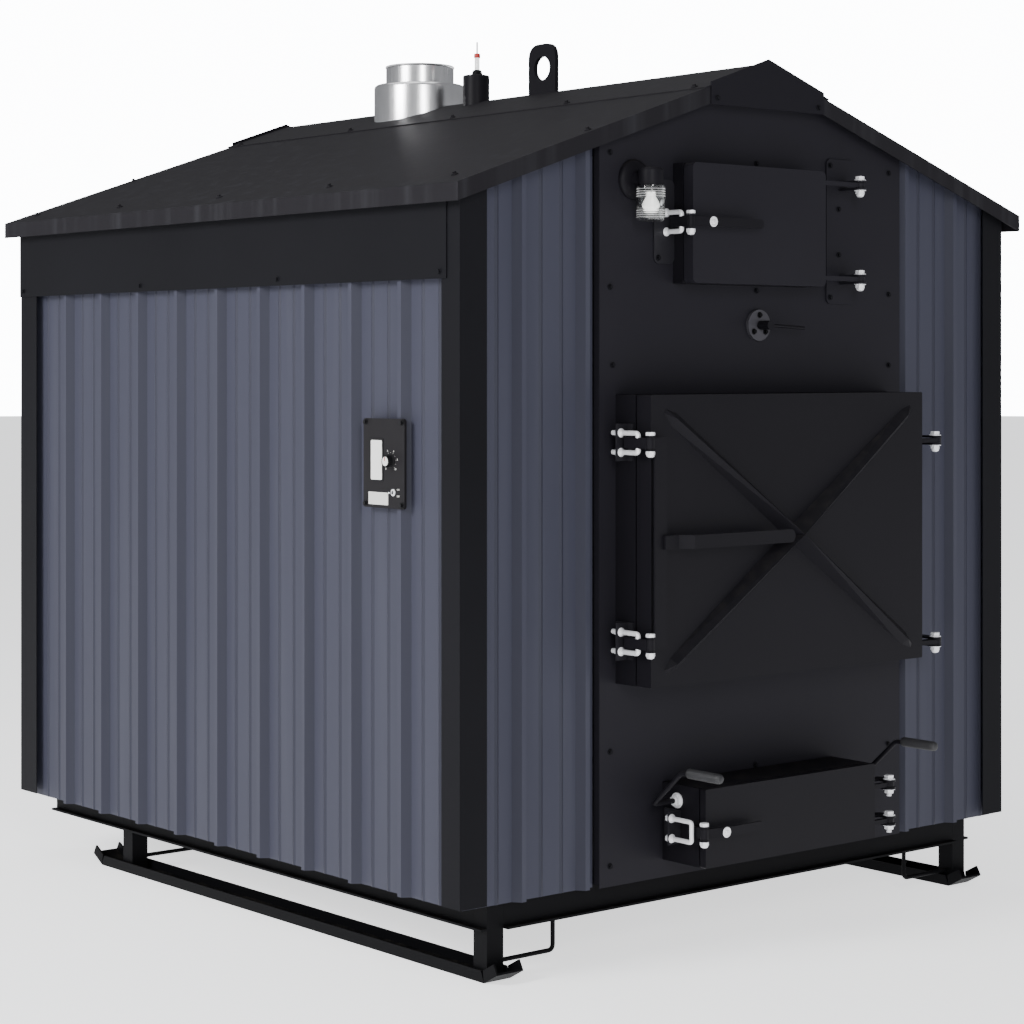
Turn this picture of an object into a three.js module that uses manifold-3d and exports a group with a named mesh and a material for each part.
// Outdoor wood boiler: a water-jacket stove in a small steel-clad house on skids.
// Millimetres, +Z up, +X to the right of someone facing the doors, the doors face -Y.
// While it is built, x = 0 is the cabinet's middle, y = 0 its front face and z = 0 its floor line.
import * as THREE from 'three';
import { mergeVertices } from 'three/addons/utils/BufferGeometryUtils.js';
import { ConvexGeometry } from 'three/addons/geometries/ConvexGeometry.js';
import Module from 'manifold-3d';

const wasm = await Module();
wasm.setup();

// ---------------------------------------------------------------- driving sizes

const GAP = 0.3; // between pieces that touch
const RUNNING_GAP = 0.5; // between a pin and its eye, on the radius
const BEND_STEPS = 3; // sections along the bend of a rod, less one

// Cabinet
const CABINET_WIDTH = 1829;
const CABINET_DEPTH = 1960;
const SHEET = 2; // cladding
const PLATE = 3; // black flat panels
const EAVE_TOP = 1574;
const ROOF_RISE = 0.343; // rise per unit of run
const ROOF_SHEET = 3;
const ROOF_SIDE_OVERHANG = 32;
const ROOF_END_OVERHANG = 34;
const DRIP_DEPTH = 41;
const RIDGE_CAP_REACH = 209; // from the ridge down each slope, measured level
const WALL_TOP = 1566; // top of the side walls, under the eave
const CLADDING_DROP = 7; // how far the cladding hangs below the floor line

// Corrugation of the cladding
const RIB_PITCH = 187.5;
const RIB_HEIGHT = 19;
const RIB_CREST = 13;
const RIB_SLOPE = 14;
const BEAD_HEIGHT = 2.5;
const BEAD_WIDTH = 12;
const BEAD_OFFSET = 30; // of the two small beads from the middle of each pan
const FIRST_SIDE_RIB = 221; // behind the front face
const FRONT_RIB = 730; // from the middle
const CREST_INSET = 3; // of the rib crests behind the trims' outer faces

// Trims and boards
const TRIM_FRONT_LEG = 76;
const TRIM_SIDE_LEG = 64;
const TRIM_REAR_LEG = 88;
const FASCIA_BOTTOM = 1369;
const FASCIA_START = 44;
const FASCIA_TOP = 1560;
const FRONT_PANEL_HALF = 510;
const FRONT_PANEL_RETURN = 20;
const PEAK_HALF = 192;
const PEAK_BOTTOM = 1791;
const PEAK_SIDE = 53; // height of the plate's upright ends
const PEAK_RISE = 67; // of its top edge, from the ends to the middle

// Base
const SKID_INSET = 96; // outer face behind the cabinet side
const SKID_WEB = 76;
const SKID_FLANGE = 26;
const SKID_WALL = 5;
const SKID_BOTTOM = -178.5;
const SKID_REAR = 1682;
const SKID_TIP = 52;
const SKID_TIP_ANGLE = THREE.MathUtils.degToRad(29);
const SKID_NOTCH_ANGLE = THREE.MathUtils.degToRad(16);
const POST = 47;
const POST_WALL = 4;
const POST_INSET_X = 106.5;
const POST_FRONT = 38;
const SKID_LEAD = 2; // the skid's front bend lies this far ahead of the front posts
const SKID_FRONT = POST_FRONT - SKID_LEAD;
const POST_REAR = 1541;
const FRAME_DEPTH = 66; // of the base angles, down from the floor
const FRAME_WALL = 5;
const FRAME_FLANGE = 16;
const FRAME_REAR = 1950;
const FLOOR_EDGE = 24; // floor pan behind the cabinet faces
const FLOOR_THICKNESS = 3;
const TIE_RADIUS = 5;
const TIE_REACH = 164; // from the post to the bend
const TIE_RISE = 36; // of the level run above the skid's underside
const TIE_BEND = 14;

// Vessel
const VESSEL_INSET = 274.5; // of the water jacket's sides inside the cabinet's
const VESSEL_FRONT = 70;
const VESSEL_BACK_ROOM = 160; // behind the water jacket
const VESSEL_TOP = 1660;
const VESSEL_PLATE = 6;
const CHAMBER_BACK_ROOM = 466; // from the firebox's rear wall to the cabinet's rear
const FIREBOX_HALF = 464;
const FIREBOX_FLOOR = 336;
const FIREBOX_ROOF = 1174;
const SMOKE_HALF = 270;
const SMOKE_FLOOR = 1390;
const SMOKE_ROOF = 1606;
const NECK_HALF = 120;
const NECK_FRONT = 150;
const NECK_REAR = 420;
const PIT_LEFT = -290;
const PIT_RIGHT = 234;
const PIT_FLOOR = 55;
const PIT_REAR = 1300;
const GRATE_HALF = 200;
const GRATE_FRONT = 300;
const GRATE_REAR = 1100;
const GRATE_BAR = 18;
const GRATE_BARS = 10;
const GRATE_DEPTH = 30;
const PIPE_RADIUS = 24;
const PIPE_WALL = 4;
const PIPE_X = 110;
const PIPE_Z = 260;
const PIPE_REACH = 25; // of the water pipes behind the cabinet
const ACCESS_HALF = 300;
const ACCESS_BOTTOM = 90;
const ACCESS_TOP = 640;
const ACCESS_LAP = 25;

// Loading door
const LOADING_HALF = 460;
const LOADING_BOTTOM = 454;
const LOADING_TOP = 1113;
const LOADING_FRAME_DEPTH = 66;
const LOADING_DOOR_BACK = 71;
const LOADING_DOOR_FACE = 118;
const LOADING_FRAME_BAND = 55;
const DOOR_WALL = 5;
const DOOR_LIP = 48;
const RIDGE_INSET_X = 40;
const RIDGE_INSET_TOP = 35;
const RIDGE_INSET_BOTTOM = 31;
const RIDGE_HALF = 21;
const RIDGE_END_HEIGHT = 15;
const RIDGE_MID_HEIGHT = 38;
const RIDGE_TAPER = 34;
const SHIELD_INSET = 75;
const SHIELD_BACK = 57;
const SHIELD_PLATE = 3;
const STANDOFF_RADIUS = 8;
const STANDOFF_X = 300;
const STANDOFF_Z = 190;
const GASKET_INSET = 20;
const GASKET_WIDTH = 18;

// Hinges of the loading door
const LOADING_HINGE_X = 525;
const LOADING_HINGE_Y = -104;
const LOADING_HINGE_Z = [992, 488];
const HINGE_PIN = 8;
const HINGE_EYE = 16;
const STRAP_THICKNESS = 11;
const EAR_THICKNESS = 5;
const EAR_GAP = 1;
const EAR_CHAMFER = 24;
const EAR_SETBACK = 4; // of an ear's front edge behind its frame's
const EAR_PANEL_GAP = 8; // between an ear and the front panel
const ASH_EAR_LENGTH = 42;
const HEX_HEAD = 11;
const HEX_HEAD_HEIGHT = 10;
const HEX_TIP = 3; // of a shank below its nut
const WASHER_THICKNESS = 2;

// Loading-door latch and its keepers
const LATCH_X = -478;
const LATCH_Y = -135;
const LATCH_Z = [1005, 555];
const TONGUE_HEIGHT = 25;
const TONGUE_THICKNESS = 8;
const TONGUE_REACH = 74;
const TONGUE_SET = -8; // of a tongue from its pivot, away from the frame's wall
const KNUCKLE = 10;
const PIVOT_PIN = 5;
const LATCH_PLATE_WIDTH = 37;
const LATCH_PLATE = 5;
const HANDLE_HEIGHT = 31;
const HANDLE_BAR = 8;
const HANDLE_FACE = -170;
const HANDLE_END = -48;
const HANDLE_Z = 782;
const HANDLE_STEP = -400; // where the handle starts to stand off the latch plate
const HOOK_ROD = 5.5;
const HOOK_SPREAD = 22;
const HOOK_REACH = 63;
const HOOK_TAIL = 22;
const HOOK_TIP_GAP = 14.5; // from the tongue's middle to a hook's end
const KEEPER_FACE = -46;
const KEEPER_LEG = [-62, -6];
const KEEPER_WIDTH = 38;
const KEEPER_HALF = 42;
const HOOK_NUT = 9;

// Cleanout door
const CLEANOUT_LEFT = -280;
const CLEANOUT_RIGHT = 166;
const CLEANOUT_BOTTOM = 1370;
const CLEANOUT_TOP = 1649;
const CLEANOUT_FRAME_DEPTH = 32;
const CLEANOUT_DOOR_BACK = 36;
const CLEANOUT_DOOR_FACE = 67;
const CLEANOUT_BAND = 30;
const CLEANOUT_WALL = 4;
const CLEANOUT_CORNER = 12;
const CLEANOUT_HINGE_X = 296;
const CLEANOUT_HINGE_Y = -60;
const CLEANOUT_HINGE_Z = [1622, 1391];
const CLEANOUT_PIN = 6;
const CLEANOUT_LATCH_X = -298;
const CLEANOUT_LATCH_Y = -78;
const CLEANOUT_LATCH_Z = 1511;
const CLEANOUT_TONGUE_REACH = 58;
const CLEANOUT_HOOK_REACH = 57;
const CLEANOUT_HANDLE_END = -76;
const CLEANOUT_HANDLE_FACE = -96;
const HINGE_PLATE_LEFT = 236;
const HINGE_PLATE_RIGHT = 336;
const HINGE_PLATE_BOTTOM = 1331;
const HINGE_PLATE_TOP = 1688;
const KEEPER_PLATE_LEFT = -344;
const KEEPER_PLATE_BOTTOM = 1415;
const KEEPER_PLATE_TOP = 1610;
const SMALL_PLATE = 4;
const PLATE_CORNER = 14;

// Ash door
const ASH_LEFT = -313;
const ASH_RIGHT = 258;
const ASH_BOTTOM = 34;
const ASH_TOP = 214;
const ASH_FRAME_DEPTH = 120;
const ASH_DOOR_BACK = 124;
const ASH_DOOR_FACE = 142;
const ASH_BAND = 22;
const ASH_WALL = 4;
const ASH_HINGE_X = 322;
const ASH_HINGE_Y = -131;
const ASH_HINGE_Z = [156, 68];
const ASH_LATCH_X = -331;
const ASH_LATCH_Y = -156;
const ASH_LATCH_Z = 118;
const ASH_TONGUE_REACH = 54;
const ASH_TONGUE_SET = 2; // inside its pivot, so that it passes behind the U-bolt
const ASH_HANDLE_END = -150;
const ASH_HANDLE_FACE = -172;
const U_BOLT_X = -342;
const U_BOLT_ROD = 5;
const U_BOLT_SPREAD = 23;
const U_BOLT_FRONT = -126;
const U_BOLT_BACK = -46;
const ASH_KEEPER_FACE = -60;

// Grate cranks
const CRANK_Y = -50;
const CRANK_Z = 178;
const CRANK_ROD = 5.5;
const CRANK_STANDOFF = 76;
const CRANK_FORWARD = 92;
const CRANK_RISE = 82;
const GRIP_LENGTH = 104;
const GRIP_RADIUS = 11.5;
const GRIP_START = 24;
const CRANK_ARM = 52;

// Bypass damper
const DAMPER_X = -2.5;
const DAMPER_Z = 1275.5;
const DAMPER_FLANGE = 37.5;
const DAMPER_FLANGE_THICKNESS = 8;
const DAMPER_SHAFT = 6;
const DAMPER_HUB = 11;
const DAMPER_HUB_FRONT = -46;
const DAMPER_HUB_BACK = -12;
const DAMPER_LEVER_Y = -34;
const DAMPER_LEVER_LENGTH = 126;
const DAMPER_LEVER_ROD = 4;
const DAMPER_CLEARANCE = 6; // between the plate and the neck's walls
const DAMPER_PLATE = 5;

// Lamp
const LAMP_X = -405.5;
const LAMP_Z = 1605;
const CANOPY_RADIUS = 47;
const CANOPY_DEPTH = 16;
const SOCKET_Y = -59;
const SOCKET_RADIUS = 29;
const SOCKET_TOP = 1630;
const SOCKET_BOTTOM = 1589;
const NECK_RADIUS = 18;
const COLLAR_RADIUS = 26;
const COLLAR_DROP = 14;
const JAR_RADIUS = 33.3;
const JAR_WALL = 2.6;
const JAR_BOTTOM = 1507;
const JAR_RIB = 1.2;
const JAR_RIBS = 7;
const BULB_RADIUS = 20;
const BULB_BOTTOM = 1523;
const LAMP_SIDES = 20;

// Control plate on the left side
const CONTROL_FRONT = 193;
const CONTROL_REAR = 346;
const CONTROL_BOTTOM = 859;
const CONTROL_TOP = 1060;
const CONTROL_THICKNESS = 6;
const KNOB_Y = 244;
const KNOB_Z = 965;
const KNOB_RADIUS = 15;
const KNOB_HEIGHT = 16;
const SWITCH_Y = 234.5;
const SWITCH_Z = 895;
const SWITCH_BALL = 4.5;
const SWITCH_LENGTH = 13;

// Roof fittings
const CHIMNEY_Y = 1330;
const CHIMNEY_OUTER = 128.8;
const CHIMNEY_WALL = 2.5;
const CHIMNEY_TOP = 1968;
const FLUE_OUTER = 95.6;
const FLUE_TOP = 2022;
const VENT_Y = 1077;
const VENT_RADIUS = 36.5;
const VENT_WALL = 3;
const VENT_TOP = 1974;
const SADDLE_WIDTH = 31;
const SADDLE_HEIGHT = 15;
const SIGHT_RADIUS = 7;
const SIGHT_WALL = 1.6;
const SIGHT_TOP = 2028;
const SIGHT_OFFSET = -4;
const FLOAT_ROD = 2.6;
const FLOAT_ROD_TOP = 2066;
const FLOAT_BALL = 26;
const FLOAT_BALL_Z = 1700;
const LUG_Y = 792.7;
const LUG_HALF = 54.5;
const LUG_THICKNESS = 12;
const LUG_TOP = 2031.5;
const LUG_HOLE_Z = 1967;
const LUG_HOLE = 31.5;

// ---------------------------------------------------------------- colours

const paint = (color, roughness, metalness) =>
  new THREE.MeshStandardMaterial({ color, roughness, metalness });
const BLACK = 0x222226;
const blackPaint = () => paint(BLACK, 0.45, 0.1);
const blueSteel = () => paint(0x535764, 0.5, 0.1);
const roofPaint = () => paint(0x3a393d, 0.4, 0.1);
const zinc = () => paint(0xdcdce0, 0.3, 0.9);
const stainless = () => paint(0xc4c4c8, 0.2, 1);
const bareSteel = () => paint(0x4a4744, 0.6, 0.6);
const rubber = () => paint(0x3c3c3f, 0.8, 0);

// ---------------------------------------------------------------- solids

function solidOf(geometry) {
  const bare = geometry.clone();
  bare.deleteAttribute('normal');
  bare.deleteAttribute('uv');
  const merged = mergeVertices(bare, 1e-4);
  return new wasm.Manifold(new wasm.Mesh({
    numProp: 3,
    vertProperties: new Float32Array(merged.attributes.position.array),
    triVerts: new Uint32Array(merged.index.array),
  }));
}

function geometryOf(solid) {
  const mesh = solid.getMesh();
  const geometry = new THREE.BufferGeometry();
  geometry.setAttribute('position', new THREE.BufferAttribute(new Float32Array(mesh.vertProperties), 3));
  geometry.setIndex(new THREE.BufferAttribute(new Uint32Array(mesh.triVerts), 1));
  const faceted = geometry.toNonIndexed();
  faceted.computeVertexNormals();
  return faceted;
}

const joined = (...solids) => solids.reduce((sum, next) => sum.add(next));

function box(x, y, z) {
  const geometry = new THREE.BoxGeometry(x[1] - x[0], y[1] - y[0], z[1] - z[0]);
  geometry.translate((x[0] + x[1]) / 2, (y[0] + y[1]) / 2, (z[0] + z[1]) / 2);
  return solidOf(geometry);
}

// More sides on a larger round, so that facets stay about as wide.
const sidesFor = (radius) => Math.min(36, 12 + 4 * Math.floor(radius / 12));

const eyeOutline = (x, y, radius, sides = sidesFor(radius)) => Array.from({ length: sides }, (_, k) => {
  const turn = (2 * Math.PI * k) / sides;
  return [x + radius * Math.cos(turn), y + radius * Math.sin(turn)];
});

// A cylinder along one axis; centre holds the two other coordinates, in X, Y, Z order.
function round(axis, radius, span, centre, sides = sidesFor(radius), farRadius = radius) {
  const length = span[1] - span[0];
  const middle = (span[0] + span[1]) / 2;
  const geometry = new THREE.CylinderGeometry(farRadius, radius, length, sides);
  if (axis === 'x') geometry.rotateZ(-Math.PI / 2).translate(middle, centre[0], centre[1]);
  if (axis === 'y') geometry.translate(centre[0], middle, centre[1]);
  if (axis === 'z') geometry.rotateX(Math.PI / 2).translate(centre[0], centre[1], middle);
  return solidOf(geometry);
}

// An outline swept along one axis; its points are the two other coordinates, in X, Y, Z order.
function prism(axis, outline, span, curveSegments = 6) {
  const shape = outline instanceof THREE.Shape
    ? outline
    : new THREE.Shape(outline.map(([u, v]) => new THREE.Vector2(u, v)));
  const geometry = new THREE.ExtrudeGeometry(shape, {
    depth: span[1] - span[0],
    bevelEnabled: false,
    curveSegments,
  });
  if (axis === 'x') {
    geometry.applyMatrix4(new THREE.Matrix4().makeBasis(
      new THREE.Vector3(0, 1, 0),
      new THREE.Vector3(0, 0, 1),
      new THREE.Vector3(1, 0, 0),
    ));
    geometry.translate(span[0], 0, 0);
  }
  if (axis === 'y') geometry.rotateX(Math.PI / 2).translate(0, span[1], 0);
  if (axis === 'z') geometry.translate(0, 0, span[0]);
  return solidOf(geometry);
}

function roundedRectangle(u, v, radius) {
  const shape = new THREE.Shape();
  shape.moveTo(u[0] + radius, v[0]);
  shape.lineTo(u[1] - radius, v[0]);
  shape.absarc(u[1] - radius, v[0] + radius, radius, -Math.PI / 2, 0);
  shape.lineTo(u[1], v[1] - radius);
  shape.absarc(u[1] - radius, v[1] - radius, radius, 0, Math.PI / 2);
  shape.lineTo(u[0] + radius, v[1]);
  shape.absarc(u[0] + radius, v[1] - radius, radius, Math.PI / 2, Math.PI);
  shape.lineTo(u[0], v[0] + radius);
  shape.absarc(u[0] + radius, v[0] + radius, radius, Math.PI, 1.5 * Math.PI);
  return shape;
}

// A path that hands its own stations to the sweep, so a rod gets sections at its bends only.
class RodPath extends THREE.Curve {
  constructor(stations) {
    super();
    this.stations = stations;
  }

  station(t) {
    return this.stations[Math.round(t * (this.stations.length - 1))];
  }

  getPointAt(t, target = new THREE.Vector3()) {
    return target.copy(this.station(t).point);
  }

  getTangentAt(t, target = new THREE.Vector3()) {
    return target.copy(this.station(t).tangent);
  }
}

// A round rod through corner points, with its corners bent.
function bentRod(corners, radius, bend, sides = 8) {
  const points = corners.map(([x, y, z]) => new THREE.Vector3(x, y, z));
  const last = points.length - 1;
  const heading = (from, to) => to.clone().sub(from).normalize();
  const stations = [{ point: points[0], tangent: heading(points[0], points[1]) }];
  for (let i = 1; i < last; i++) {
    const curve = new THREE.QuadraticBezierCurve3(
      points[i - 1].clone().sub(points[i]).setLength(bend).add(points[i]),
      points[i],
      points[i + 1].clone().sub(points[i]).setLength(bend).add(points[i]),
    );
    for (let k = 0; k <= BEND_STEPS; k++) {
      const t = k / BEND_STEPS;
      stations.push({ point: curve.getPoint(t), tangent: curve.getTangent(t) });
    }
  }
  stations.push({ point: points[last], tangent: heading(points[last - 1], points[last]) });
  const section = new THREE.Shape(eyeOutline(0, 0, radius, sides).map(([u, v]) => new THREE.Vector2(u, v)));
  return solidOf(new THREE.ExtrudeGeometry(section, {
    steps: stations.length - 1,
    bevelEnabled: false,
    extrudePath: new RodPath(stations),
  }));
}

const boiler = new THREE.Group();

function piece(name, solid, material, group = boiler) {
  const mesh = new THREE.Mesh(geometryOf(solid), material);
  mesh.name = name;
  mesh.castShadow = true;
  // A group that stands at a joint's axis holds pieces that were built in the cabinet's frame.
  mesh.position.copy(group.position).negate();
  if (group === boiler) mesh.position.set(0, 0, 0);
  group.add(mesh);
  return mesh;
}

function groupAt(name, x, y, z) {
  const group = new THREE.Group();
  group.name = name;
  group.position.set(x, y, z);
  boiler.add(group);
  return group;
}

const mirrorX = (solid) => solid.mirror([1, 0, 0]);

// ---------------------------------------------------------------- shared heights

const cabinetHalf = CABINET_WIDTH / 2;
const roofEdge = cabinetHalf + ROOF_SIDE_OVERHANG;
const roofTop = (x) => EAVE_TOP + (roofEdge - Math.abs(x)) * ROOF_RISE;
const roofUnder = (x) => roofTop(x) - ROOF_SHEET;
const capTop = (x) => roofTop(x) + GAP + ROOF_SHEET;
const roofSpan = [-ROOF_END_OVERHANG, CABINET_DEPTH + ROOF_END_OVERHANG];
const cutMargin = CABINET_WIDTH / 10; // how far a cutting solid runs past what it cuts
const vesselHalf = cabinetHalf - VESSEL_INSET;
const vesselRear = CABINET_DEPTH - VESSEL_BACK_ROOM;
const chamberRear = CABINET_DEPTH - CHAMBER_BACK_ROOM;
const pipeEnd = CABINET_DEPTH + PIPE_REACH;

// Everything above a surface that follows the two roof slopes.
function aboveSlopes(height, y) {
  const reach = cabinetHalf + cutMargin;
  const far = height(0) + cutMargin;
  return prism('y', [
    [-reach, height(reach)],
    [0, height(0)],
    [reach, height(reach)],
    [reach, far],
    [-reach, far],
  ], y);
}

const underRoof = (solid) => solid.subtract(
  aboveSlopes((x) => roofUnder(x) - GAP, [roofSpan[0] - cutMargin, roofSpan[1] + cutMargin]),
);

// ---------------------------------------------------------------- base

function skid() {
  const outer = cabinetHalf - SKID_INSET;
  const inner = outer - SKID_WEB;
  const half = SKID_TIP_ANGLE / 2;
  const flatEdge = half + SKID_NOTCH_ANGLE / 2;
  const bentEdge = half - SKID_NOTCH_ANGLE / 2;
  const notchTop = SKID_FLANGE * Math.tan(flatEdge);
  const webCorner = SKID_WALL * Math.tan(half);
  const along = [-Math.cos(SKID_TIP_ANGLE), Math.sin(SKID_TIP_ANGLE)];
  const across = [Math.sin(SKID_TIP_ANGLE), Math.cos(SKID_TIP_ANGLE)];
  const notchLength = SKID_FLANGE / Math.cos(SKID_TIP_ANGLE - bentEdge);
  const bottom = SKID_BOTTOM;
  // Points of the front end, in (distance behind the bend, height); the rear end mirrors them.
  const tip = [along[0] * SKID_TIP, bottom + along[1] * SKID_TIP];
  const tipFlange = [tip[0] + across[0] * SKID_FLANGE, tip[1] + across[1] * SKID_FLANGE];
  const tipWeb = [tip[0] + across[0] * SKID_WALL, tip[1] + across[1] * SKID_WALL];
  const notch = [notchLength * Math.sin(bentEdge), bottom + notchLength * Math.cos(bentEdge)];
  const front = ([y, z]) => [SKID_FRONT + y, z];
  const rear = ([y, z]) => [SKID_REAR - y, z];
  const bentFlange = [[0, bottom], notch, tipFlange, tip];
  const bentWeb = [[0, bottom], [webCorner, bottom + SKID_WALL], tipWeb, tip];
  const flatFlange = [
    [SKID_FRONT, bottom],
    [SKID_REAR, bottom],
    [SKID_REAR - notchTop, bottom + SKID_FLANGE],
    [SKID_FRONT + notchTop, bottom + SKID_FLANGE],
  ];
  const walls = [[outer - SKID_WALL, outer], [inner, inner + SKID_WALL]];
  const flanges = walls.flatMap((x) => [
    prism('x', flatFlange, x),
    prism('x', bentFlange.map(front), x),
    prism('x', bentFlange.map(rear), x),
  ]);
  return joined(
    box([inner, outer], [SKID_FRONT, SKID_REAR], [bottom, bottom + SKID_WALL]),
    prism('x', bentWeb.map(front), [inner, outer]),
    prism('x', bentWeb.map(rear), [inner, outer]),
    ...flanges,
  );
}

const postOuter = cabinetHalf - POST_INSET_X;
const postInner = postOuter - POST;
const postBottom = SKID_BOTTOM + SKID_WALL + GAP;
const floorUnder = -FLOOR_THICKNESS;
const postTop = floorUnder - GAP;
const tieLevel = SKID_BOTTOM + TIE_RISE;

// A square tube post with the bent tie rod that is welded to it.
function post(yFront) {
  const y = [yFront, yFront + POST];
  const tube = box([postInner, postOuter], y, [postBottom, postTop]);
  const bore = box(
    [postInner + POST_WALL, postOuter - POST_WALL],
    [y[0] + POST_WALL, y[1] - POST_WALL],
    [postBottom - 1, postTop + 1],
  );
  const tieY = yFront + POST / 2;
  const tie = bentRod([
    [postInner + 1, tieY, tieLevel],
    [postInner - TIE_REACH, tieY, tieLevel],
    [postInner - TIE_REACH, tieY, floorUnder - GAP],
  ], TIE_RADIUS, TIE_BEND);
  return tube.subtract(bore).add(tie);
}

const right = {
  skid: skid(),
  frontPost: post(POST_FRONT),
  rearPost: post(POST_REAR),
};
piece('left_skid', mirrorX(right.skid), blackPaint());
piece('right_skid', right.skid, blackPaint());
piece('front_left_post', mirrorX(right.frontPost), blackPaint());
piece('front_right_post', right.frontPost, blackPaint());
piece('rear_left_post', mirrorX(right.rearPost), blackPaint());
piece('rear_right_post', right.rearPost, blackPaint());

const claddingInner = cabinetHalf - CREST_INSET - RIB_HEIGHT - SHEET; // inner face of the side pans
const floorHalf = claddingInner - GAP;
const floorSpan = [CREST_INSET + RIB_HEIGHT + SHEET + GAP, CABINET_DEPTH - FLOOR_EDGE - GAP];
const framePosts = [POST_FRONT, POST_REAR].flatMap((y) => [-1, 1].map((side) => {
  const x = [postInner - GAP, postOuter + GAP].map((value) => value * side).sort((a, b) => a - b);
  return box(x, [y - GAP, y + POST + GAP], [-2 * FRAME_DEPTH, floorUnder]);
}));
const angleFoot = [-FRAME_DEPTH, -FRAME_DEPTH + FRAME_WALL];
const sideAngle = joined(
  box([postOuter - FRAME_WALL, postOuter], [POST_FRONT, FRAME_REAR], [-FRAME_DEPTH, floorUnder]),
  box([postOuter - FRAME_WALL, postOuter + FRAME_FLANGE], [POST_FRONT, FRAME_REAR], angleFoot),
);
const crossAngle = (y, outward) => joined(
  box([-postOuter, postOuter], [y, y + FRAME_WALL], [-FRAME_DEPTH, floorUnder]),
  box([-postInner, postInner], outward, angleFoot),
);
const floorPlate = box([-floorHalf, floorHalf], floorSpan, [floorUnder, 0]);
const rearCladding = box([-postOuter - 1, postOuter + 1], [floorSpan[1], FRAME_REAR + 1], [-CLADDING_DROP - GAP, 1]);
const baseFrame = [...framePosts, rearCladding].reduce((frame, hole) => frame.subtract(hole), joined(
  sideAngle,
  mirrorX(sideAngle),
  crossAngle(POST_FRONT, [POST_FRONT - FRAME_FLANGE, POST_FRONT + FRAME_WALL]),
  crossAngle(FRAME_REAR - FRAME_WALL, [FRAME_REAR - FRAME_WALL, FRAME_REAR]),
  floorPlate,
));
piece('base_frame', baseFrame, blackPaint());

// ---------------------------------------------------------------- corrugated cladding

// The outline of a corrugated sheet, as (distance along the wall, depth behind the rib crests).
function corrugation(start, end, firstRib) {
  const foot = RIB_CREST / 2 + RIB_SLOPE;
  const outer = [[start, RIB_HEIGHT]];
  const add = (along, depth) => {
    if (along > start && along < end) outer.push([along, depth]);
  };
  const firstIndex = Math.floor((start - firstRib) / RIB_PITCH) - 1;
  for (let rib = firstRib + firstIndex * RIB_PITCH; rib < end + RIB_PITCH; rib += RIB_PITCH) {
    if (rib - foot > start && rib + foot < end) {
      add(rib - foot, RIB_HEIGHT);
      add(rib - RIB_CREST / 2, 0);
      add(rib + RIB_CREST / 2, 0);
      add(rib + foot, RIB_HEIGHT);
    }
    for (const offset of [-BEAD_OFFSET, BEAD_OFFSET]) {
      const bead = rib + RIB_PITCH / 2 + offset;
      if (bead - BEAD_WIDTH < start || bead + BEAD_WIDTH > end) continue;
      add(bead - BEAD_WIDTH / 2, RIB_HEIGHT);
      add(bead, RIB_HEIGHT - BEAD_HEIGHT);
      add(bead + BEAD_WIDTH / 2, RIB_HEIGHT);
    }
  }
  outer.push([end, RIB_HEIGHT]);
  const inner = outer.map(([along, depth]) => [along, depth + SHEET]).reverse();
  return [...outer, ...inner];
}

const claddingBottom = -CLADDING_DROP;
const crestPlane = cabinetHalf - CREST_INSET;
const sideEdge = SHEET + GAP + 20; // the side sheets end behind the corner trims
const sideOutline = corrugation(sideEdge + RIB_HEIGHT, CABINET_DEPTH - sideEdge - RIB_HEIGHT, FIRST_SIDE_RIB)
  .map(([along, depth]) => [crestPlane - depth, along]);
const sideTop = WALL_TOP;
const sidePanel = prism('z', sideOutline, [claddingBottom, sideTop]);
piece('left_side_panel', mirrorX(sidePanel), blueSteel());
piece('right_side_panel', sidePanel, blueSteel());

const gableHigh = roofTop(0);
const stripInner = FRONT_PANEL_HALF + SHEET;
const stripOuter = floorHalf - 2 * GAP;
const stripOutline = corrugation(stripInner, stripOuter, FRONT_RIB)
  .map(([along, depth]) => [along, CREST_INSET + depth]);
const frontStrip = underRoof(prism('z', stripOutline, [claddingBottom, gableHigh]));
piece('front_left_panel', mirrorX(frontStrip), blueSteel());
piece('front_right_panel', frontStrip, blueSteel());

const rearOutline = corrugation(-stripOuter, stripOuter, 0)
  .map(([along, depth]) => [along, CABINET_DEPTH - CREST_INSET - depth]);
const accessHole = box(
  [-ACCESS_HALF, ACCESS_HALF],
  [CABINET_DEPTH - 60, CABINET_DEPTH + 60],
  [ACCESS_BOTTOM, ACCESS_TOP],
);
const rearPanel = underRoof(prism('z', rearOutline, [claddingBottom, gableHigh])).subtract(accessHole);
piece('rear_panel', rearPanel, blueSteel());

const pipeHoles = [-PIPE_X, PIPE_X].map((x) => round(
  'y', PIPE_RADIUS + 2, [CABINET_DEPTH - 60, CABINET_DEPTH + 60], [x, PIPE_Z],
));
const accessFace = CABINET_DEPTH - CREST_INSET + GAP;
const accessPanel = pipeHoles.reduce((panel, hole) => panel.subtract(hole), box(
  [-ACCESS_HALF - ACCESS_LAP, ACCESS_HALF + ACCESS_LAP],
  [accessFace, accessFace + SHEET],
  [ACCESS_BOTTOM - ACCESS_LAP, ACCESS_TOP + ACCESS_LAP],
));
piece('rear_access_panel', accessPanel, blackPaint());

// Corner trims: a folded angle up each corner of the cabinet.
function cornerTrim(endLeg, sideLeg, atRear) {
  const face = atRear ? [CABINET_DEPTH - SHEET, CABINET_DEPTH] : [0, SHEET];
  const side = atRear ? [CABINET_DEPTH - sideLeg, CABINET_DEPTH] : [0, sideLeg];
  const top = roofTop(0);
  return underRoof(joined(
    box([cabinetHalf - endLeg, cabinetHalf], face, [0, top]),
    box([cabinetHalf - SHEET, cabinetHalf], side, [0, top]),
  ));
}

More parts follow.
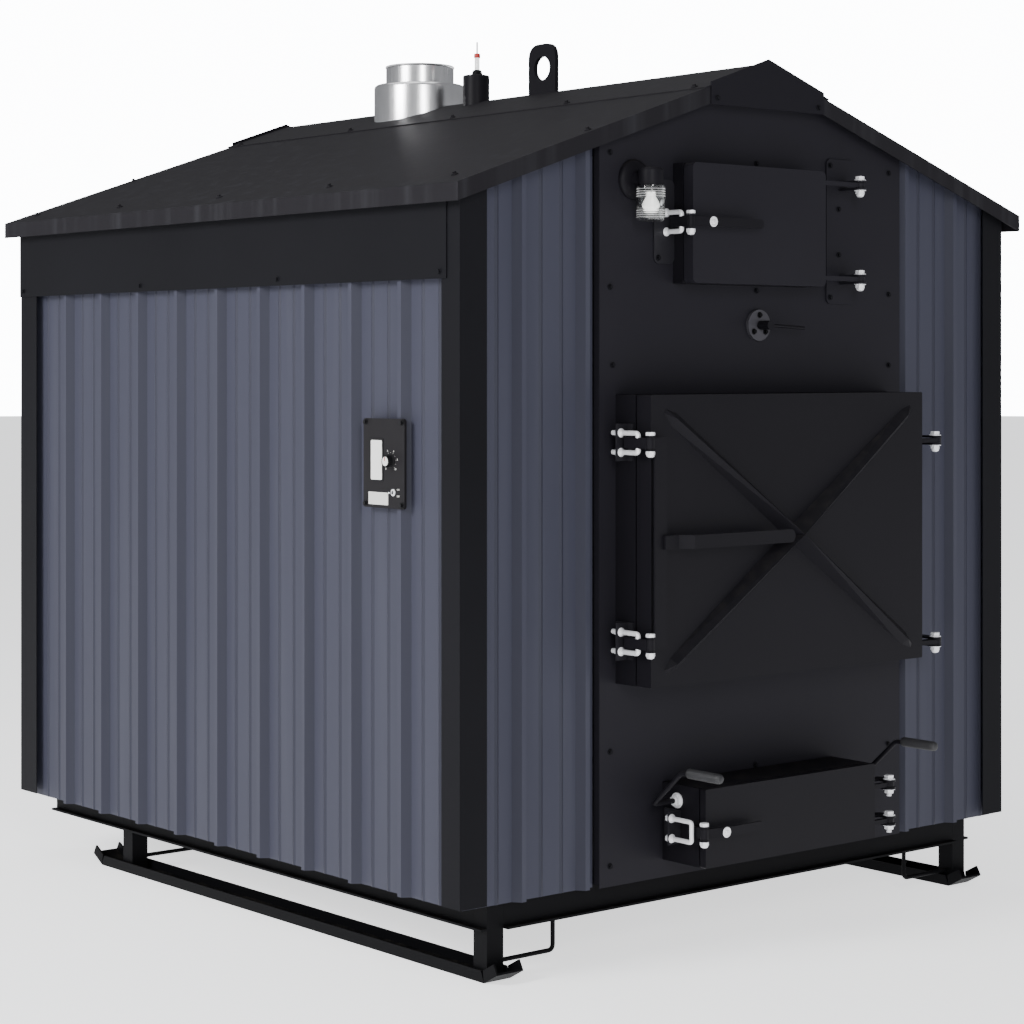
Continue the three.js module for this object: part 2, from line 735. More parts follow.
const frontTrim = cornerTrim(TRIM_FRONT_LEG, TRIM_SIDE_LEG, false);
const rearTrim = cornerTrim(TRIM_FRONT_LEG, TRIM_REAR_LEG, true);
piece('front_left_trim', mirrorX(frontTrim), blackPaint());
piece('front_right_trim', frontTrim, blackPaint());
piece('rear_left_trim', mirrorX(rearTrim), blackPaint());
piece('rear_right_trim', rearTrim, blackPaint());

const fascia = box(
  [cabinetHalf + GAP, cabinetHalf + GAP + PLATE],
  [FASCIA_START, CABINET_DEPTH],
  [FASCIA_BOTTOM, FASCIA_TOP],
);
piece('left_fascia_board', mirrorX(fascia), blackPaint());
piece('right_fascia_board', fascia, blackPaint());

// ---------------------------------------------------------------- roof

const holeSpan = [SMOKE_ROOF, roofTop(0) + cutMargin];
const flueHole = round('z', FLUE_OUTER + 2, holeSpan, [0, CHIMNEY_Y], 32);
const ventHole = round('z', VENT_RADIUS + 1, holeSpan, [0, VENT_Y], 24);
const lugSlot = box(
  [-LUG_THICKNESS / 2 - 1, LUG_THICKNESS / 2 + 1],
  [LUG_Y - LUG_HALF - 1, LUG_Y + LUG_HALF + 1],
  holeSpan,
);
const roofHoles = joined(flueHole, ventHole, lugSlot);

const sheetMiddle = GAP; // each sheet stops just short of the ridge line
const slopeSheet = prism('y', [
  [sheetMiddle, roofTop(sheetMiddle)],
  [sheetMiddle, roofUnder(sheetMiddle)],
  [roofEdge, roofUnder(roofEdge)],
  [roofEdge, roofTop(roofEdge)],
], roofSpan);
const rake = (y) => prism('y', [
  [sheetMiddle, roofTop(sheetMiddle)],
  [sheetMiddle, roofTop(sheetMiddle) - DRIP_DEPTH],
  [roofEdge, roofTop(roofEdge) - DRIP_DEPTH],
  [roofEdge, roofTop(roofEdge)],
], y);
const roofSheet = joined(
  slopeSheet,
  rake([roofSpan[0], roofSpan[0] + ROOF_SHEET]),
  rake([roofSpan[1] - ROOF_SHEET, roofSpan[1]]),
  box([roofEdge - ROOF_SHEET, roofEdge], roofSpan, [EAVE_TOP - DRIP_DEPTH, EAVE_TOP - ROOF_SHEET / 2]),
).subtract(roofHoles);
piece('left_roof_sheet', mirrorX(roofSheet), roofPaint());
piece('right_roof_sheet', roofSheet, roofPaint());

const ridgeSpan = [roofSpan[0] - GAP - PLATE, roofSpan[1] + GAP + PLATE];
const ridgeCap = prism('y', [
  [-RIDGE_CAP_REACH, roofTop(RIDGE_CAP_REACH) + GAP],
  [0, roofTop(0) + GAP],
  [RIDGE_CAP_REACH, roofTop(RIDGE_CAP_REACH) + GAP],
  [RIDGE_CAP_REACH, capTop(RIDGE_CAP_REACH)],
  [0, capTop(0)],
  [-RIDGE_CAP_REACH, capTop(RIDGE_CAP_REACH)],
], ridgeSpan).subtract(roofHoles);

// A gable plate on each end of the cap hides the ends of the roof sheets.
const peakShoulder = PEAK_BOTTOM + PEAK_SIDE;
const peakPlate = (y) => prism('y', [
  [-PEAK_HALF, PEAK_BOTTOM],
  [PEAK_HALF, PEAK_BOTTOM],
  [PEAK_HALF, peakShoulder],
  [0, peakShoulder + PEAK_RISE],
  [-PEAK_HALF, peakShoulder],
], y);
piece('ridge_cap', joined(
  ridgeCap,
  peakPlate([ridgeSpan[0], ridgeSpan[0] + PLATE]),
  peakPlate([ridgeSpan[1] - PLATE, ridgeSpan[1]]),
), roofPaint());

// ---------------------------------------------------------------- door frames

// A door frame: a hollow band of plate that runs from the vessel out through the front panel.
function doorFrame(x, z, depth, band, wall) {
  const y = [-depth, VESSEL_FRONT - GAP];
  const outer = box(x, y, z);
  const opening = box(
    [x[0] + band, x[1] - band],
    [y[0] - 1, y[1] + 1],
    [z[0] + band, z[1] - band],
  );
  const cavity = box([x[0] + wall, x[1] - wall], [y[0] + wall, y[1] + 1], [z[0] + wall, z[1] - wall]);
  const lining = box(
    [x[0] + band - wall, x[1] - band + wall],
    [y[0], y[1] + 2],
    [z[0] + band - wall, z[1] - band + wall],
  );
  return outer.subtract(cavity.subtract(lining)).subtract(opening);
}

// A pair of ear plates round a hinge pin, reaching back to the wall that carries them.
function hingeEars(centre, z, outline) {
  const [x, y] = centre;
  const low = STRAP_THICKNESS / 2 + EAR_GAP;
  const levels = [[z + low, z + low + EAR_THICKNESS], [z - low - EAR_THICKNESS, z - low]];
  return joined(...levels.map((level) => joined(
    prism('z', outline, level),
    prism('z', eyeOutline(x, y, HINGE_EYE), level),
  )));
}

// A hinge bolt: a shank that fills the ears' bore, its hexagon head above and its nut below.
function hingeBolt(centre, z, pin) {
  const stack = STRAP_THICKNESS / 2 + EAR_GAP + EAR_THICKNESS;
  const top = z + stack;
  const bottom = z - stack;
  return joined(
    round('z', pin, [bottom - HEX_HEAD_HEIGHT - HEX_TIP, top + 1], centre),
    round('z', HEX_HEAD, [top - 1, top + HEX_HEAD_HEIGHT], centre, 6),
    round('z', HEX_HEAD, [bottom - HEX_HEAD_HEIGHT, bottom + 1], centre, 6),
  );
}

const loadingX = [-LOADING_HALF, LOADING_HALF];
const loadingZ = [LOADING_BOTTOM, LOADING_TOP];
const hingeCentre = [LOADING_HINGE_X, LOADING_HINGE_Y];

// The plan of an ear: out from a frame's wall, forward to the pin, and chamfered back to its root.
function earPlan(wall, centre, front, back) {
  const [x, y] = centre;
  return [
    [wall - 1, front],
    [x - HINGE_EYE, front],
    [x - HINGE_EYE, y],
    [x + HINGE_EYE, y],
    [x + HINGE_EYE, back - EAR_CHAMFER],
    [x + HINGE_EYE - EAR_CHAMFER, back],
    [wall - 1, back],
  ];
}
const loadingEar = earPlan(LOADING_HALF, hingeCentre, EAR_SETBACK - LOADING_FRAME_DEPTH, -EAR_PANEL_GAP);

// ---------------------------------------------------------------- hooked keepers

// Two threaded rods, bent towards each other in front, with their nuts and washers on a flange.
function hookPair(x, z, flange, front, tail) {
  const rods = [-1, 1].flatMap((side) => {
    const rodZ = z + side * HOOK_SPREAD;
    const tip = z + side * HOOK_TIP_GAP;
    return [
      bentRod([
        [x, flange[1] + tail, rodZ],
        [x, front + HOOK_ROD, rodZ],
        [x, front + HOOK_ROD, tip],
      ], HOOK_ROD, HOOK_SPREAD - HOOK_TIP_GAP - 0.5),
      round('y', HOOK_ROD + 3.5, [flange[0] - WASHER_THICKNESS, flange[0] + 0.5], [x, rodZ]),
    ];
  });
  return joined(...rods);
}

const keeperFlange = [KEEPER_FACE, KEEPER_FACE + DOOR_WALL];
const hookX = LATCH_X + TONGUE_SET;
function loadingKeeper(z) {
  const left = -LOADING_HALF - GAP;
  const wallLeg = box(
    [left - DOOR_WALL, left],
    KEEPER_LEG,
    [z - KEEPER_HALF, z + KEEPER_HALF],
  );
  const flangeLeg = box([left - KEEPER_WIDTH, left], keeperFlange, [z - KEEPER_HALF, z + KEEPER_HALF]);
  const nuts = [-1, 1].map((side) => round(
    'y', HEX_HEAD - 1, [keeperFlange[1] - 0.5, keeperFlange[1] + HOOK_NUT - 1],
    [hookX, z + side * HOOK_SPREAD], 6,
  ));
  const hooks = hookPair(hookX, z, keeperFlange, KEEPER_FACE - HOOK_REACH, HOOK_TAIL);
  return joined(wallLeg, flangeLeg, hooks, ...nuts);
}

// ---------------------------------------------------------------- frames as pieces

let loadingFrame = doorFrame(loadingX, loadingZ, LOADING_FRAME_DEPTH, LOADING_FRAME_BAND, DOOR_WALL);
for (const z of LOADING_HINGE_Z) {
  loadingFrame = loadingFrame.add(hingeEars(hingeCentre, z, loadingEar));
  loadingFrame = loadingFrame.add(hingeBolt(hingeCentre, z, HINGE_PIN));
}
piece('loading_frame', loadingFrame, blackPaint());
piece('loading_keeper_upper', loadingKeeper(LATCH_Z[0]), zinc());
piece('loading_keeper_lower', loadingKeeper(LATCH_Z[1]), zinc());

const cleanoutX = [CLEANOUT_LEFT, CLEANOUT_RIGHT];
const cleanoutZ = [CLEANOUT_BOTTOM, CLEANOUT_TOP];
const cleanoutFrame = doorFrame(cleanoutX, cleanoutZ, CLEANOUT_FRAME_DEPTH, CLEANOUT_BAND, CLEANOUT_WALL);
piece('cleanout_frame', cleanoutFrame, blackPaint());

const ashX = [ASH_LEFT, ASH_RIGHT];
const ashZ = [ASH_BOTTOM, ASH_TOP];
const ashHinge = [ASH_HINGE_X, ASH_HINGE_Y];
const ashEarFront = 2 * EAR_SETBACK - ASH_FRAME_DEPTH;
const ashEar = earPlan(ASH_RIGHT, ashHinge, ashEarFront, ashEarFront + ASH_EAR_LENGTH);
const crankBores = round(
  'x', CRANK_ROD + RUNNING_GAP, [ASH_LEFT - 20, ASH_RIGHT + 20], [CRANK_Y, CRANK_Z], 16,
);
let ashFrame = doorFrame(ashX, ashZ, ASH_FRAME_DEPTH, ASH_BAND, ASH_WALL).subtract(crankBores);
for (const z of ASH_HINGE_Z) {
  ashFrame = ashFrame.add(hingeEars(ashHinge, z, ashEar));
  ashFrame = ashFrame.add(hingeBolt(ashHinge, z, CLEANOUT_PIN));
}
piece('ash_frame', ashFrame, blackPaint());

// ---------------------------------------------------------------- front panel

const through = (x, z) => box(
  [x[0] - RUNNING_GAP, x[1] + RUNNING_GAP],
  [-10, 60],
  [z[0] - RUNNING_GAP, z[1] + RUNNING_GAP],
);
const damperCentre = [DAMPER_X, DAMPER_Z];
const panelEdge = [[FRONT_PANEL_HALF - SHEET, FRONT_PANEL_HALF], [-FRONT_PANEL_HALF, SHEET - FRONT_PANEL_HALF]];
const frontPanel = underRoof(joined(
  box([-FRONT_PANEL_HALF, FRONT_PANEL_HALF], [0, PLATE], [claddingBottom, gableHigh]),
  ...panelEdge.map((x) => box(x, [0, FRONT_PANEL_RETURN], [GAP, gableHigh])),
))
  .subtract(through(loadingX, loadingZ))
  .subtract(through(cleanoutX, cleanoutZ))
  .subtract(through(ashX, ashZ))
  .subtract(round('y', DAMPER_SHAFT + 2, [-10, 60], damperCentre));
piece('front_panel', frontPanel, blackPaint());

// ---------------------------------------------------------------- vessel

// Four welded boxes of plate: the water jacket and, inside it, the ash pit, firebox and smoke chamber.
const plate = VESSEL_PLATE;
const roomFront = VESSEL_FRONT + plate + GAP; // the inner boxes stand against the jacket's front plate
const jacketFloor = GAP + plate;
const fireRoom = {
  x: [-FIREBOX_HALF, FIREBOX_HALF], y: [roomFront, chamberRear], z: [FIREBOX_FLOOR, FIREBOX_ROOF],
};
const pitRoom = {
  x: [PIT_LEFT, PIT_RIGHT], y: [roomFront, PIT_REAR], z: [PIT_FLOOR, FIREBOX_FLOOR - plate - GAP],
};
const smokeRoom = {
  x: [-SMOKE_HALF, SMOKE_HALF], y: [roomFront, chamberRear], z: [SMOKE_FLOOR, SMOKE_ROOF],
};
const neckRoom = {
  x: [-NECK_HALF, NECK_HALF], y: [NECK_FRONT, NECK_REAR], z: [FIREBOX_ROOF + plate + GAP, SMOKE_FLOOR],
};

const grown = ([low, high], by) => [low - by, high + by];

// A room open to the front, in plate on its other five sides.
const openBox = ({ x, y, z }) => box(grown(x, plate), [y[0], y[1] + plate], grown(z, plate))
  .subtract(box(x, [y[0] - 1, y[1]], z));

function waterJacket() {
  // A mouth is what a door frame's opening and the room behind it share.
  const within = (frame, band, room) => [
    Math.max(frame[0] + band, room[0]),
    Math.min(frame[1] - band, room[1]),
  ];
  const front = grown([VESSEL_FRONT, VESSEL_FRONT + plate], 1);
  const mouths = [
    [loadingX, loadingZ, LOADING_FRAME_BAND, fireRoom],
    [cleanoutX, cleanoutZ, CLEANOUT_BAND, smokeRoom],
    [ashX, ashZ, ASH_BAND, pitRoom],
  ].map(([x, z, band, room]) => box(within(x, band, room.x), front, within(z, band, room.z)));
  const top = grown([VESSEL_TOP - plate, VESSEL_TOP], 1);
  const outer = box([-vesselHalf, vesselHalf], [VESSEL_FRONT, vesselRear], [GAP, VESSEL_TOP]);
  const water = box(
    [plate - vesselHalf, vesselHalf - plate],
    [VESSEL_FRONT + plate, vesselRear - plate],
    [jacketFloor, VESSEL_TOP - plate],
  );
  const pipeAt = (radius, y) => [-PIPE_X, PIPE_X].map((x) => round('y', radius, y, [x, PIPE_Z]));
  return outer
    .subtract(water)
    .add(joined(...pipeAt(PIPE_RADIUS, [vesselRear - 1, pipeEnd])))
    .subtract(joined(
      ...mouths,
      ...pipeAt(PIPE_RADIUS - PIPE_WALL, [vesselRear - plate - 1, pipeEnd + 1]),
      round('y', DAMPER_SHAFT + 1, front, damperCentre),
      round('z', FLUE_OUTER + GAP, top, [0, CHIMNEY_Y], 32),
      round('z', VENT_RADIUS - VENT_WALL, top, [0, VENT_Y]),
    ));
}
piece('boiler_vessel', waterJacket(), bareSteel());

// The ash pit, open at its top and front. Its sides run down to the jacket's floor as legs.
function ashPit() {
  const depth = [roomFront, PIT_REAR + plate];
  const under = [jacketFloor + GAP, PIT_FLOOR - plate];
  return box(grown(pitRoom.x, plate), depth, [under[0], pitRoom.z[1]])
    .subtract(box(pitRoom.x, [roomFront - 1, PIT_REAR], [PIT_FLOOR, pitRoom.z[1] + 1]))
    .subtract(box(pitRoom.x, grown(depth, 1), [under[0] - 1, under[1]]));
}
piece('ash_pit', ashPit(), bareSteel());

// The firebox, open to the front, through the grate to the ash pit and above to the smoke chamber.
function firebox() {
  const grateHole = box(
    [-GRATE_HALF, GRATE_HALF],
    [GRATE_FRONT, GRATE_REAR],
    grown([FIREBOX_FLOOR - plate, FIREBOX_FLOOR], 1),
  );
  const neckHole = box(neckRoom.x, neckRoom.y, grown([FIREBOX_ROOF, FIREBOX_ROOF + plate], 1));
  return openBox(fireRoom).subtract(grateHole).subtract(neckHole);
}
piece('firebox', firebox(), bareSteel());

// The smoke chamber, with the neck that stands on the firebox, the flue's collar and the damper's sleeve.
function smokeChamber() {
  const neck = box(grown(neckRoom.x, plate), grown(neckRoom.y, plate), [neckRoom.z[0], SMOKE_FLOOR - 1]);
  const collar = round('z', FLUE_OUTER, [SMOKE_ROOF + 1, VESSEL_TOP], [0, CHIMNEY_Y], 32);
  const sleeve = round('y', DAMPER_SHAFT + plate, [roomFront, NECK_FRONT - 1], damperCentre);
  return openBox(smokeRoom)
    .add(joined(neck, collar, sleeve))
    .subtract(joined(
      box(neckRoom.x, neckRoom.y, grown([neckRoom.z[0], SMOKE_FLOOR], 1)),
      round('z', FLUE_OUTER - VENT_WALL, grown([SMOKE_ROOF, VESSEL_TOP], 1), [0, CHIMNEY_Y], 32),
      round('y', DAMPER_SHAFT + 1, grown([roomFront, NECK_FRONT], 1), damperCentre),
    ));
}
piece('smoke_chamber', smokeChamber(), bareSteel());

// The grate: bars across the opening in the firebox floor, joined by two end bars that rest on it.
const grateX = [-GRATE_HALF - 30, GRATE_HALF + 30];
const grateZ = [FIREBOX_FLOOR + GAP, FIREBOX_FLOOR + GRATE_DEPTH];
const grateStep = (GRATE_REAR - GRATE_FRONT) / GRATE_BARS;
const grateBars = Array.from({ length: GRATE_BARS + 1 }, (_, k) => {
  const y = GRATE_FRONT + k * grateStep;
  return box(grateX, [y - GRATE_BAR / 2, y + GRATE_BAR / 2], grateZ);
});
const grateRails = [grateX[0], grateX[1] - GRATE_BAR].map((x) => box(
  [x, x + GRATE_BAR],
  [GRATE_FRONT - GRATE_BAR / 2, GRATE_REAR + GRATE_BAR / 2],
  grateZ,
));
piece('grate', joined(...grateBars, ...grateRails), bareSteel());

// ---------------------------------------------------------------- loading door

// A pan door: front plate, four side returns and a lip that turns in behind them.
function panDoor(x, z, y, wall, lip, corner) {
  const [face, back] = y;
  const shell = prism('y', roundedRectangle(x, z, corner), [face, back], 4);
  const hollow = box([x[0] + wall, x[1] - wall], [face + wall, back - wall], [z[0] + wall, z[1] - wall]);
  const mouth = box([x[0] + lip, x[1] - lip], [back - 2 * wall, back + 1], [z[0] + lip, z[1] - lip]);
  return shell.subtract(hollow).subtract(mouth);
}

// Half of one diagonal ridge of the cross-broken door face, from the middle out to a corner.
function ridgeArm(from, to, face, midHeight, endHeight) {
  const [x0, z0] = from;
  const [x1, z1] = to;
  const length = Math.hypot(x1 - x0, z1 - z0);
  const dir = [(x1 - x0) / length, (z1 - z0) / length];
  const side = [-dir[1], dir[0]];
  const point = (along, across, height) => new THREE.Vector3(
    x0 + dir[0] * along + side[0] * across,
    face - height,
    z0 + dir[1] * along + side[1] * across,
  );
  const shoulder = length - RIDGE_TAPER;
  return solidOf(new ConvexGeometry([
    point(0, RIDGE_HALF, -1),
    point(0, -RIDGE_HALF, -1),
    point(0, 0, midHeight),
    point(shoulder, RIDGE_HALF * 0.8, -1),
    point(shoulder, -RIDGE_HALF * 0.8, -1),
    point(shoulder, 0, endHeight),
    point(length, 6, -1),
    point(length, -6, -1),
  ]));
}

const loadingHinge = groupAt('loading_door_hinge', LOADING_HINGE_X, LOADING_HINGE_Y, 0);
const face = -LOADING_DOOR_FACE;
const doorMiddle = [0, (LOADING_BOTTOM + LOADING_TOP + RIDGE_INSET_BOTTOM - RIDGE_INSET_TOP) / 2];
const ridgeEndX = LOADING_HALF - RIDGE_INSET_X;
const ridgeEnds = [-ridgeEndX, ridgeEndX].flatMap((x) => [
  [x, LOADING_BOTTOM + RIDGE_INSET_BOTTOM],
  [x, LOADING_TOP - RIDGE_INSET_TOP],
]);
const ridges = ridgeEnds.map((end) => ridgeArm(doorMiddle, end, face, RIDGE_MID_HEIGHT, RIDGE_END_HEIGHT));
const strapOutline = [
  [LOADING_HALF - DOOR_WALL, LOADING_HINGE_Y - 11],
  [LOADING_HINGE_X, LOADING_HINGE_Y - HINGE_EYE + 2],
  [LOADING_HINGE_X, LOADING_HINGE_Y + HINGE_EYE - 2],
  [LOADING_HALF - DOOR_WALL, LOADING_HINGE_Y + 11],
];
const straps = LOADING_HINGE_Z.map((z) => joined(
  prism('z', strapOutline, [z - STRAP_THICKNESS / 2, z + STRAP_THICKNESS / 2]),
  prism('z', eyeOutline(...hingeCentre, HINGE_EYE - 1), [z - STRAP_THICKNESS / 2, z + STRAP_THICKNESS / 2]),
).subtract(round('z', HINGE_PIN + RUNNING_GAP, [z - 30, z + 30], hingeCentre)));

const shieldX = [-LOADING_HALF + SHIELD_INSET, LOADING_HALF - SHIELD_INSET];
const shieldZ = [LOADING_BOTTOM + SHIELD_INSET, LOADING_TOP - SHIELD_INSET];
const shield = box(shieldX, [-SHIELD_BACK - SHIELD_PLATE, -SHIELD_BACK], shieldZ);
const standoffs = [-STANDOFF_X, STANDOFF_X].flatMap((x) => [-STANDOFF_Z, STANDOFF_Z].map((dz) => round(
  'y', STANDOFF_RADIUS, [face + 1, -SHIELD_BACK - 1], [x, doorMiddle[1] + dz],
)));

// Ears that hold a latch pivot on the door's left edge, with the pivot bolt through them.
function latchEars(x, y, z, doorEdge, doorFace) {
  const low = TONGUE_HEIGHT / 2 + EAR_GAP;
  const levels = [[z + low, z + low + SMALL_PLATE], [z - low - SMALL_PLATE, z - low]];
  const outline = [
    [doorEdge + 1, doorFace + 1],
    [x + 6, y - KNUCKLE],
    [x - 3, y - KNUCKLE - 1],
    [x - KNUCKLE, y - 4],
    [x - KNUCKLE, y + 6],
    [doorEdge + 1, doorFace + 16],
  ];
  const ends = [z - low - SMALL_PLATE, z + low + SMALL_PLATE];
  return joined(
    ...levels.map((level) => prism('z', outline, level)),
    round('z', PIVOT_PIN, [ends[0] - 10, ends[1] + 2], [x, y]),
    round('z', HEX_HEAD - 1, [ends[1] - 0.5, ends[1] + 7], [x, y], 6),
    round('z', HEX_HEAD - 1, [ends[0] - 8, ends[0] + 0.5], [x, y], 6),
  );
}

const loadingDoor = joined(
  panDoor(loadingX, loadingZ, [face, -LOADING_DOOR_BACK], DOOR_WALL, DOOR_LIP, 3),
  ...ridges,
  ...straps,
  shield,
  ...standoffs,
  ...LATCH_Z.map((z) => latchEars(LATCH_X, LATCH_Y, z, -LOADING_HALF, face)),
);
piece('loading_door', loadingDoor, blackPaint(), loadingHinge);

const gasketRing = (x, z, y) => box(
  [x[0] + GASKET_INSET, x[1] - GASKET_INSET],
  y,
  [z[0] + GASKET_INSET, z[1] - GASKET_INSET],
).subtract(box(
  [x[0] + GASKET_INSET + GASKET_WIDTH, x[1] - GASKET_INSET - GASKET_WIDTH],
  [y[0] - 1, y[1] + 1],
  [z[0] + GASKET_INSET + GASKET_WIDTH, z[1] - GASKET_INSET - GASKET_WIDTH],
));
const gasket = gasketRing(loadingX, loadingZ, [GAP - LOADING_DOOR_BACK, -LOADING_FRAME_DEPTH - 2 * GAP]);
piece('loading_gasket', gasket, paint(0xb8b2a4, 0.95, 0), loadingHinge);

// A latch tongue with its knuckle: it runs back beside the door frame, between the hooks.
function tongue(x, y, z, reach, set) {
  const half = TONGUE_HEIGHT / 2;
  const thick = TONGUE_THICKNESS / 2;
  return joined(
    box([x + set - thick, x + set + thick], [y, y + reach], [z - half, z + half]),
    round('z', KNUCKLE, [z - half, z + half], [x, y]),
  );
}

const pivotBore = (x, y, z) => round('z', PIVOT_PIN + RUNNING_GAP, z, [x, y]);
const plateFace = [LATCH_Y - LATCH_PLATE / 2, LATCH_Y + LATCH_PLATE / 2];
const plateX = [LATCH_X + KNUCKLE + 2, LATCH_X + KNUCKLE + 2 + LATCH_PLATE_WIDTH];
const frontLegs = LATCH_Z.map((z) => box([LATCH_X, plateX[1]], plateFace, [z - TONGUE_HEIGHT / 2, z + TONGUE_HEIGHT / 2]));
const plateZ = [LATCH_Z[1] + TONGUE_HEIGHT / 2 - 1, LATCH_Z[0] - TONGUE_HEIGHT / 2 + 1];
const handleZ = [HANDLE_Z - HANDLE_HEIGHT / 2, HANDLE_Z + HANDLE_HEIGHT / 2];
const handlePlan = [
  [plateX[1] - 12, plateFace[0] + 1],
  [plateX[1] - 12, plateFace[0] - HANDLE_BAR],
  [HANDLE_STEP, plateFace[0] - HANDLE_BAR],
  [HANDLE_STEP + 26, HANDLE_FACE],
  [HANDLE_END, HANDLE_FACE],
  [HANDLE_END, HANDLE_FACE + HANDLE_BAR],
  [HANDLE_STEP + 30, HANDLE_FACE + HANDLE_BAR],
  [HANDLE_STEP + 4, plateFace[0] + 1],
];
const handleEnd = prism('y', roundedRectangle(
  [plateX[0] - 50, HANDLE_END], handleZ, HANDLE_HEIGHT / 2 - 0.5,
), [HANDLE_FACE - 10, 0], 6);
const handle = prism('z', handlePlan, handleZ).intersect(handleEnd);
const loadingLatch = joined(
  ...LATCH_Z.map((z) => tongue(LATCH_X, LATCH_Y, z, TONGUE_REACH, TONGUE_SET)),
  ...frontLegs,
  box(plateX, plateFace, plateZ),
  handle,
).subtract(pivotBore(LATCH_X, LATCH_Y, [0, LOADING_TOP]));
const loadingLatchGroup = groupAt('loading_latch_pivot', LATCH_X, LATCH_Y, 0);
piece('loading_latch', loadingLatch, blackPaint(), loadingLatchGroup);

// ---------------------------------------------------------------- cleanout door

const cleanoutHinge = [CLEANOUT_HINGE_X, CLEANOUT_HINGE_Y];
const cleanoutGroup = groupAt('cleanout_door_hinge', ...cleanoutHinge, 0);
const cleanoutStrap = (z) => joined(
  box(
    [CLEANOUT_RIGHT - CLEANOUT_WALL, CLEANOUT_HINGE_X],
    [CLEANOUT_HINGE_Y - 6, CLEANOUT_HINGE_Y + 6],
    [z - STRAP_THICKNESS / 2, z + STRAP_THICKNESS / 2],
  ),
  prism('z', eyeOutline(...cleanoutHinge, HINGE_EYE - 4), [z - STRAP_THICKNESS / 2, z + STRAP_THICKNESS / 2]),
).subtract(round('z', CLEANOUT_PIN + RUNNING_GAP, [z - 30, z + 30], cleanoutHinge));
const cleanoutDoor = joined(
  panDoor(
    cleanoutX, cleanoutZ, [-CLEANOUT_DOOR_FACE, -CLEANOUT_DOOR_BACK],
    CLEANOUT_WALL, CLEANOUT_BAND - 4, CLEANOUT_CORNER,
  ),
  ...CLEANOUT_HINGE_Z.map(cleanoutStrap),
  latchEars(CLEANOUT_LATCH_X, CLEANOUT_LATCH_Y, CLEANOUT_LATCH_Z, CLEANOUT_LEFT, -CLEANOUT_DOOR_FACE),
);
piece('cleanout_door', cleanoutDoor, blackPaint(), cleanoutGroup);

const plateOnPanel = [-GAP - SMALL_PLATE, -GAP];
let hingePlate = prism('y', roundedRectangle(
  [HINGE_PLATE_LEFT, HINGE_PLATE_RIGHT], [HINGE_PLATE_BOTTOM, HINGE_PLATE_TOP], PLATE_CORNER,
), plateOnPanel, 4);
const cleanoutEar = [
  [CLEANOUT_HINGE_X - HINGE_EYE, plateOnPanel[1] - 1],
  [CLEANOUT_HINGE_X - HINGE_EYE, CLEANOUT_HINGE_Y],
  [CLEANOUT_HINGE_X + HINGE_EYE, CLEANOUT_HINGE_Y],
  [CLEANOUT_HINGE_X + HINGE_EYE, plateOnPanel[1] - 1],
];
for (const z of CLEANOUT_HINGE_Z) {
  hingePlate = hingePlate.add(hingeEars(cleanoutHinge, z, cleanoutEar));
  hingePlate = hingePlate.add(hingeBolt(cleanoutHinge, z, CLEANOUT_PIN));
}
piece('cleanout_hinge_plate', hingePlate, blackPaint());

const cleanoutKeeper = joined(
  prism('y', roundedRectangle(
    [KEEPER_PLATE_LEFT, CLEANOUT_LEFT - GAP], [KEEPER_PLATE_BOTTOM, KEEPER_PLATE_TOP], PLATE_CORNER,
  ), plateOnPanel, 4),
  hookPair(
    CLEANOUT_LATCH_X + TONGUE_SET, CLEANOUT_LATCH_Z,
    plateOnPanel, plateOnPanel[0] - CLEANOUT_HOOK_REACH, -SMALL_PLATE / 2,
  ),
);
piece('cleanout_keeper', cleanoutKeeper, zinc());

// A strap latch: tongue, knuckle and a bar handle that stands off the door face.
function strapLatch(x, y, z, reach, set, handleFace, handleEndX, height) {
  const half = height / 2;
  const plan = [
    [x, y + 4],
    [x + 6, y - 7],
    [x + 50, handleFace],
    [handleEndX, handleFace],
    [handleEndX, handleFace + HANDLE_BAR - 2],
    [x + 53, handleFace + HANDLE_BAR - 2],
    [x + 14, y + 2],
  ];
  const rounded = prism('y', roundedRectangle(
    [x - 40, handleEndX], [z - half, z + half], half - 0.5,
  ), [handleFace - 10, y + reach + 20], 5);
  return joined(
    tongue(x, y, z, reach, set),
    prism('z', plan, [z - half, z + half]).intersect(rounded),
  ).subtract(pivotBore(x, y, [z - 30, z + 30]));
}

const cleanoutLatch = strapLatch(
  CLEANOUT_LATCH_X, CLEANOUT_LATCH_Y, CLEANOUT_LATCH_Z,
  CLEANOUT_TONGUE_REACH, TONGUE_SET, CLEANOUT_HANDLE_FACE, CLEANOUT_HANDLE_END, TONGUE_HEIGHT - 3,
);
const cleanoutLatchGroup = groupAt('cleanout_latch_pivot', CLEANOUT_LATCH_X, CLEANOUT_LATCH_Y, 0);
piece('cleanout_latch', cleanoutLatch, blackPaint(), cleanoutLatchGroup);

// ---------------------------------------------------------------- ash door

const ashGroup = groupAt('ash_door_hinge', ...ashHinge, 0);
const ashStrap = (z) => joined(
  box(
    [ASH_RIGHT - 40, ASH_HINGE_X],
    [-ASH_DOOR_BACK - 13, -ASH_DOOR_BACK - 1],
    [z - STRAP_THICKNESS / 2, z + STRAP_THICKNESS / 2],
  ),
  prism('z', eyeOutline(...ashHinge, HINGE_EYE - 4), [z - STRAP_THICKNESS / 2, z + STRAP_THICKNESS / 2]),
).subtract(round('z', CLEANOUT_PIN + RUNNING_GAP, [z - 30, z + 30], ashHinge));
const ashDoor = joined(
  panDoor(ashX, ashZ, [-ASH_DOOR_FACE, -ASH_DOOR_BACK], ASH_WALL, ASH_BAND + 12, 4),
  ...ASH_HINGE_Z.map(ashStrap),
  latchEars(ASH_LATCH_X, ASH_LATCH_Y, ASH_LATCH_Z, ASH_LEFT, -ASH_DOOR_FACE),
);
